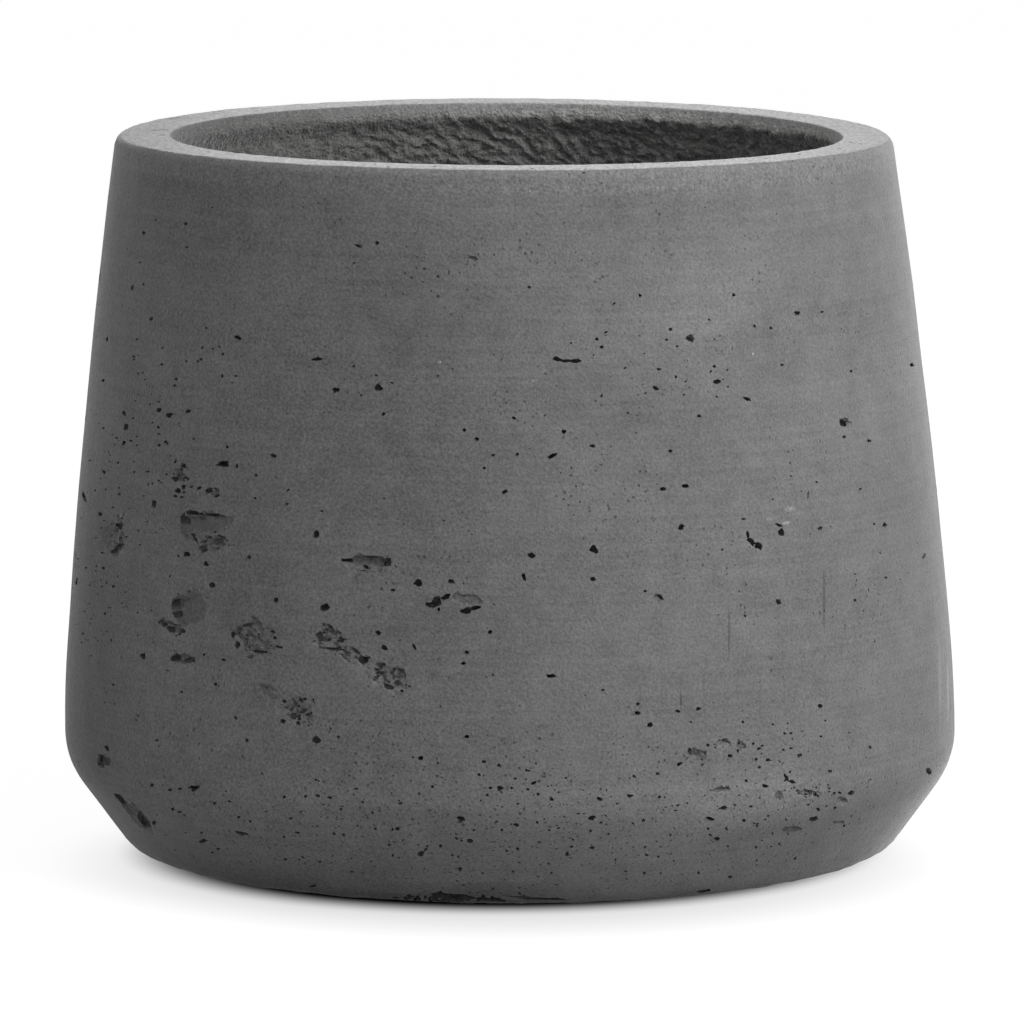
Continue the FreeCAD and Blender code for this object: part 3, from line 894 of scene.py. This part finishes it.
def carve(shell, cuts, solid):
    """Cuts the solids of bites or dishes out of the shell, whose materials give their insides their looks."""
    cutters = []
    for number, lot in enumerate(lots(cuts)):
        points, faces, looks = [], [], []
        for seed, cut in enumerate(lot):
            new_points, new_faces, new_looks = solid(cut, number + seed * NOISE_STEP)
            faces += [[index + len(points) for index in face] for face in new_faces]
            points += new_points
            looks += new_looks
        cutter = bpy.data.meshes.new(f"cutter_{number}")
        cutter.from_pydata(points, [], faces)
        for look in shell.data.materials:
            cutter.materials.append(look)
        cutter.polygons.foreach_set("material_index", looks)
        cutters.append(linked(cutter.name, cutter))
        cut = shell.modifiers.new(cutter.name, "BOOLEAN")
        cut.object = cutters[-1]
        cut.operation = "DIFFERENCE"
        cut.solver = "MANIFOLD"
        cut.material_mode = "TRANSFER"
    carved = bpy.data.meshes.new_from_object(shell.evaluated_get(bpy.context.evaluated_depsgraph_get()))
    shell.modifiers.clear()
    shell.data = carved
    for cutter in cutters:
        bpy.data.meshes.remove(cutter.data)


def smooth(obj):
    """Shades an object smooth except where it turns sharply."""
    obj.data.polygons.foreach_set("use_smooth", [True] * len(obj.data.polygons))
    obj.data.set_sharp_from_angle(angle=SHARP_ANGLE)


class Shade:
    """Socket of a material's node tree, with arithmetic on it and any other node behind it."""

    def __init__(self, tree, socket=None):
        self.tree = tree
        self.socket = socket

    def node(self, kind, inputs, output=0, **settings):
        """One output of a new node, with its settings and with its inputs set or linked."""
        made = self.tree.nodes.new(kind)
        for name, value in settings.items():
            setattr(made, name, value)
        self.feed(made, inputs)
        return Shade(self.tree, made.outputs[output])

    def feed(self, node, inputs):
        """Sets or links inputs of a node."""
        for key, value in inputs.items():
            if isinstance(value, Shade):
                self.tree.links.new(value.socket, node.inputs[key])
            else:
                node.inputs[key].default_value = value

    def math(self, operation, first, second):
        return self.node("ShaderNodeMath", {0: first, 1: second}, operation=operation)

    def vector(self, operation, other):
        return self.node("ShaderNodeVectorMath", {0: self, 1: other}, operation=operation)

    def length(self):
        return self.node("ShaderNodeVectorMath", {0: self}, "Value", operation="LENGTH")

    def __add__(self, other):
        return self.math("ADD", self, other)

    def __sub__(self, other):
        return self.math("SUBTRACT", self, other)

    def __rsub__(self, other):
        return self.math("SUBTRACT", other, self)

    def __mul__(self, other):
        return self.math("MULTIPLY", self, other)

    def __truediv__(self, other):
        return self.math("DIVIDE", self, other)

    __radd__ = __add__
    __rmul__ = __mul__

    def grain(self, size, detail=3.0, stretch=(1, 1, 1)):
        """Noise from about -1 to 1 on these coordinates, with grains of a size in metres."""
        cells = {"Vector": self.vector("MULTIPLY", stretch), "Scale": 1 / size, "Detail": detail}
        return self.node("ShaderNodeTexNoise", cells) * 4 - 2

    def between(self, low, high):
        """0 below low, 1 above high and a smooth step from one to the other."""
        return self.node("ShaderNodeMapRange", {0: self, 1: low, 2: high}, interpolation_type="SMOOTHSTEP")

    def part(self, axis):
        """One coordinate."""
        return self.node("ShaderNodeSeparateXYZ", {0: self}, axis)

    def around(self, centre):
        """Distance from an upright axis through a point."""
        return self.vector("SUBTRACT", centre).vector("MULTIPLY", (1, 1, 0)).length()

    def round(self, centre, sizes):
        """1 in the middle of a soft-edged ellipsoid and 0 outside it."""
        return 1 - self.vector("SUBTRACT", centre).vector("DIVIDE", sizes).length().between(0.3, 1.0)

    def dots(self, size, least, most, share):
        """1 in round dots of random widths, of which a share of the cells of a size has one."""
        cells = {"Vector": self, "Scale": 1 / size}
        away = self.node("ShaderNodeTexVoronoi", cells, "Distance")
        chance = self.node("ShaderNodeTexVoronoi", cells, "Color")
        width = least + (most - least) * chance.part("X")
        return (1 - away.between(width * 0.6, width)) * chance.part("Y").between(1 - share, 1 - share + 0.01)

    def tint(self, colour):
        """A colour made lighter or darker by this value."""
        return self.node("ShaderNodeVectorMath", {0: colour, "Scale": self}, operation="SCALE")

    def blend(self, share, other):
        """This value, or the other where the share is 1."""
        return self + (other - self) * share


def material(name, build, dust=DUST):
    """New material whose build gives colour, roughness and height in metres from its coordinates. Dust on it
    shows as a pale sheen at its edges."""
    made = bpy.data.materials.new(name)
    made.use_nodes = True
    start = Shade(made.node_tree)
    colour, roughness, height = build(start.node("ShaderNodeTexCoord", {}, "Object"))
    start.feed(made.node_tree.nodes["Principled BSDF"], {
        "Base Color": colour,
        "Roughness": roughness,
        "Normal": start.node("ShaderNodeBump", {"Height": height / MM, "Distance": MM}),
        "Specular IOR Level": SHINE,
        "Sheen Weight": dust,
        "Sheen Roughness": DUST_ROUGHNESS,
    })
    return made


def cement_skin(marks):
    """Cast cement: clouded grey with sand, rub lines and pores, sanded pale on the rim and sandy under it."""
    crease = rim_edge()[-1].x

    def build(place):
        x, z = place.part("X"), place.part("Z")
        clouds = place.grain(46 * MM, 3)
        mottle = place.grain(8 * MM, 4)
        grain = place.grain(GRAIN, 4)
        rubs = place.grain(70 * MM, 5, (1, 1, 45))
        drift = place.grain(30 * MM, 2)
        low = 1 - z.between(*POROUS_Z)
        pores = place.dots(PORE_CELL, 0.1, 0.3, 0.75) * (drift + low * 0.7).between(-0.3, 1.0)
        sand = place.dots(PORE_CELL, 0.08, 0.2, 0.12)
        left = 1 - x.between(*GRAINY_X)
        wall = 1 + clouds * 0.12 + mottle * 0.11 + grain * (0.30 + left * 0.14) + rubs * 0.09
        # Painted shade: the wall is darkened low on its left side, which faces away from the key light
        left_low_painted_shade = (1 - x.between(*PAINTED_SHADE_LEFT_X)) * (1 - z.between(*PAINTED_SHADE_LOW_Z))
        wall = WALL_TONE * wall * (1 - left_low_painted_shade * 0.42)
        ragged = z + mottle * 0.7 * MM + grain * 0.3 * MM
        outer = place.around(RIM_CENTRE) + grain * 0.15 * MM
        inner = place.around(RIM_CENTRE + MOUTH_SHIFT)
        band = ragged.between(*BAND_Z)
        wall = wall.blend(band, sandy_cement(place, BAND_TONE, grain))
        lip = (1 - inner.between(*LIP_LOOK_R)) * z.between(*LIP_LOOK_Z)
        wall = wall.blend(lip, lip_cement(place, grain))
        top = inner.between(*RIM_TOP_R) * z.between(*RIM_TOP_Z)
        top = top * (1 - outer.between(crease - 0.1 * MM, crease + 0.4 * MM))
        # The rim's pale top is darker towards its left and right ends
        rim_ends_darker = 1 - 0.34 * (1 - x.between(*RIM_DARKER_LEFT_X)) - 0.2 * x.between(*RIM_DARKER_RIGHT_X)
        ground = place.grain(1.0 * MM, 3, (1, 0.45, 1))
        value = wall.blend(top, RIM_TONE * rim_ends_darker * (1 + ground * 0.5 + mottle * 0.08))
        # Pores are painted darker, as the shade in their small holes, and sand specks are paler
        value = value * (1 - pores * (1 - top) * 0.75) + sand * (0.05 + band * 0.12)
        for centre, sizes, strength in marks:
            value = value + place.round(centre, sizes) * (strength * (1 + grain * 0.4))
        height = grain * 0.06 * MM + mottle * 0.06 * MM - pores * 0.35 * MM + top * grain * 0.06 * MM
        return value.tint(CEMENT_TINT), 0.8 + grain * 0.06, height
    return material("cement_skin", build)


def sandy_cement(place, shade, grain):
    """Value of cement where the sand in it shows."""
    return shade * (1 + grain * 0.42 + place.grain(2.5 * MM, 3) * 0.16)


def lip_cement(place, grain):
    """Value of the lip under the rim: sandy, and paler towards the right as painted light, where it lies in
    the shade.
    """
    return sandy_cement(place, LIP_TONE, grain) * (1 + 2.3 * place.part("X").between(*LIP_PAINTED_LIGHT_X))


def dish_cement(place):
    """Floor of the shallow hollows: the wall's cement without its skin, a little darker and coarser."""
    grain = place.grain(GRAIN, 4)
    lumps = place.grain(2 * MM, 3)
    value = DISH_TONE * (1 + grain * 0.34 + lumps * 0.2)
    return value.tint(CEMENT_TINT), 0.9 + grain * 0.05, grain * 0.1 * MM + lumps * 0.15 * MM


def pit_cement_and_shade(place):
    """Inside of the pits, where the cement broke open: coarse and dusty, and dark partly as painted shade of
    the pits.
    """
    grain = place.grain(GRAIN, 3)
    lumps = place.grain(3 * MM, 3)
    value = PIT_TONE * (1 + grain * 0.28 + lumps * 0.2)
    return value.tint(BROKEN_TINT), 0.92 + grain * 0.05, grain * 0.08 * MM + lumps * 0.15 * MM


def laid_cement(place):
    """Hand-laid fibre cement: dark and crumbly, with abraded crests, and sandy where it runs up to the lip.
    It is paler towards the right as painted light, where the wall shades it.
    """
    grain = place.grain(GRAIN, 4, (1, 0.4, 1))
    lumps = place.grain(3.5 * MM, 4)
    drift = place.grain(30 * MM, 2)
    # Painted light: the lining is paler towards the right, where it lies in the wall's shade
    shade = LAID_TONE + 0.03 * place.part("X").between(*LAID_PAINTED_LIGHT_X)
    value = shade * (1 + grain * 0.46 + lumps * 0.3 + drift * 0.12)
    near = (place.part("Z") + lumps * 1.2 * MM + drift * 1.2 * MM).between(*SMEAR_Z)
    value = value.blend(near, lip_cement(place, grain))
    height = grain * 0.2 * MM + lumps * (1 - near) * 0.4 * MM
    return value.tint(BROKEN_TINT), 0.93 + grain * 0.05, height


def plug_rubber(place):
    """Moulded rubber: near black, with a fine moulded grain and a little dust."""
    grain = place.grain(0.5 * MM, 2)
    dust = place.grain(9 * MM, 4).between(0.1, 1.2)
    return (0.028 + dust * 0.03 + grain * 0.003).tint(NEUTRAL), 0.55 + dust * 0.3, grain * 0.03 * MM


def pad_rubber(place):
    """Cut sheet rubber of the foot pads: dull black with a coarse grain."""
    grain = place.grain(0.9 * MM, 3)
    return (0.022 + grain * 0.004).tint(NEUTRAL), 0.8 + grain * 0.06, grain * 0.06 * MM


def seen_shade(start):
    """1 for the rays that show a thing itself: seen straight, mirrored or through glass."""
    rays = ("Is Camera Ray", "Is Glossy Ray", "Is Transmission Ray")
    seen, mirrored, through = [start.node("ShaderNodeLightPath", {}, ray) for ray in rays]
    return seen + mirrored + through


def build_floor():
    """Pale floor with a painted shadow around the pot over its faint real shadow, and white around it."""
    bm = bmesh.new()
    bmesh.ops.create_grid(bm, x_segments=8, y_segments=8, size=FLOOR_HALF)
    floor = piece("floor", bm)
    made = bpy.data.materials.new("floor_white")
    made.use_nodes = True
    seen = seen_shade(Shade(made.node_tree))
    place = seen.node("ShaderNodeTexCoord", {}, "Object")
    # Painted shadow: the glow is left out in a dark core and a wide faint edge around the pot
    core = place.around(PAINTED_SHADOW_CORE_AT).between(*PAINTED_SHADOW_CORE)
    edge = place.around(PAINTED_SHADOW_EDGE_AT).between(*PAINTED_SHADOW_EDGE)
    seen.feed(made.node_tree.nodes["Principled BSDF"], {
        "Base Color": (FLOOR_BOUNCE + seen * (FLOOR_SHADE - FLOOR_BOUNCE)).tint(NEUTRAL),
        "Roughness": FLOOR_ROUGHNESS,
        "Specular IOR Level": 0.0,
        "Emission Color": WHITE,
        "Emission Strength": seen * FLOOR_GLOW * core.blend(PAINTED_SHADOW_EDGE_SHARE, edge),
    })
    floor.data.materials.append(made)


def build_world():
    """Even light from all around, and white where it is seen."""
    world = bpy.data.worlds.new("studio")
    world.use_nodes = True
    bpy.context.scene.world = world
    seen = seen_shade(Shade(world.node_tree))
    strength = WORLD_LIGHT + seen * (1 - WORLD_LIGHT)
    seen.feed(world.node_tree.nodes["Background"], {"Color": WHITE, "Strength": strength})


def softbox(name, azimuth, elevation, distance, size, power):
    """Square light that looks at the pot from an angle to the camera's right and a height."""
    data = bpy.data.lights.new(name, "AREA")
    data.size = size
    data.energy = power
    light = linked(name, data)
    turn, rise = math.radians(azimuth), math.radians(elevation)
    way = Vector((math.sin(turn) * math.cos(rise), -math.cos(turn) * math.cos(rise), math.sin(rise)))
    light.location = Vector((0, 0, RIM_Z / 2)) + way * distance
    light.rotation_euler = way.to_track_quat("Z", "Y").to_euler()


def build_camera():
    """Camera at the photo's place, with a long lens."""
    data = bpy.data.cameras.new("camera")
    data.sensor_width = SENSOR
    data.lens = FOCAL_PIXELS / PHOTO_SIZE * SENSOR
    camera = linked("camera", data)
    camera.location = CAMERA_AT
    camera.rotation_euler = (math.pi / 2 - CAMERA_PITCH, 0, 0)
    bpy.context.scene.camera = camera


def placed_marks(wall):
    """Centres, sizes and strengths of the smudges, scratches, patches and painted shade that the photo shows.
    """
    marks = []
    for across, down, width, height, strength in MARKS:
        place, _, _, distance = wall.ray_cast(CAMERA_AT, photo_ray(across, down))
        scale = distance / FOCAL_PIXELS / 2
        marks.append((place, (width * scale, MARK_DEPTH + width * scale, height * scale), strength))
    return marks


rng = random.Random(SEED)
shell_bm = shell_mesh()
wall = BVHTree.FromBMesh(shell_bm)
bites = front_bites(wall, rng) + back_bites(wall, rng) + rim_bites(rng) + pore_bites(wall, rng)
dishes = front_dishes(wall) + back_dishes(wall, rng)
shell = piece("shell", shell_bm, cement_skin(placed_marks(wall)), material("dish_cement", dish_cement),
              material("pit_cement_and_shade", pit_cement_and_shade))
carve(shell, dishes, dish_solid)
carve(shell, bites, bite_solid)
smooth(shell)
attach(shell, "pot")
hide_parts("cast_shell")

lining = piece("lining", lining_mesh(), material("laid_cement", laid_cement))
smooth(lining)
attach(lining, "pot")
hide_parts("fibre_lining")

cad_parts["drain_plug"].material_slots[0].material = material("plug_rubber", plug_rubber, RUBBER_DUST)
pad_look = material("pad_rubber", pad_rubber, RUBBER_DUST)
for number in range(1, FOOT_PADS + 1):
    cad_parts[f"foot_pad_{number}"].material_slots[0].material = pad_look

build_floor()
build_world()
for name, sizes in SOFTBOXES.items():
    softbox(name, *sizes)
build_camera()
bpy.context.scene.view_settings.view_transform = "Standard"
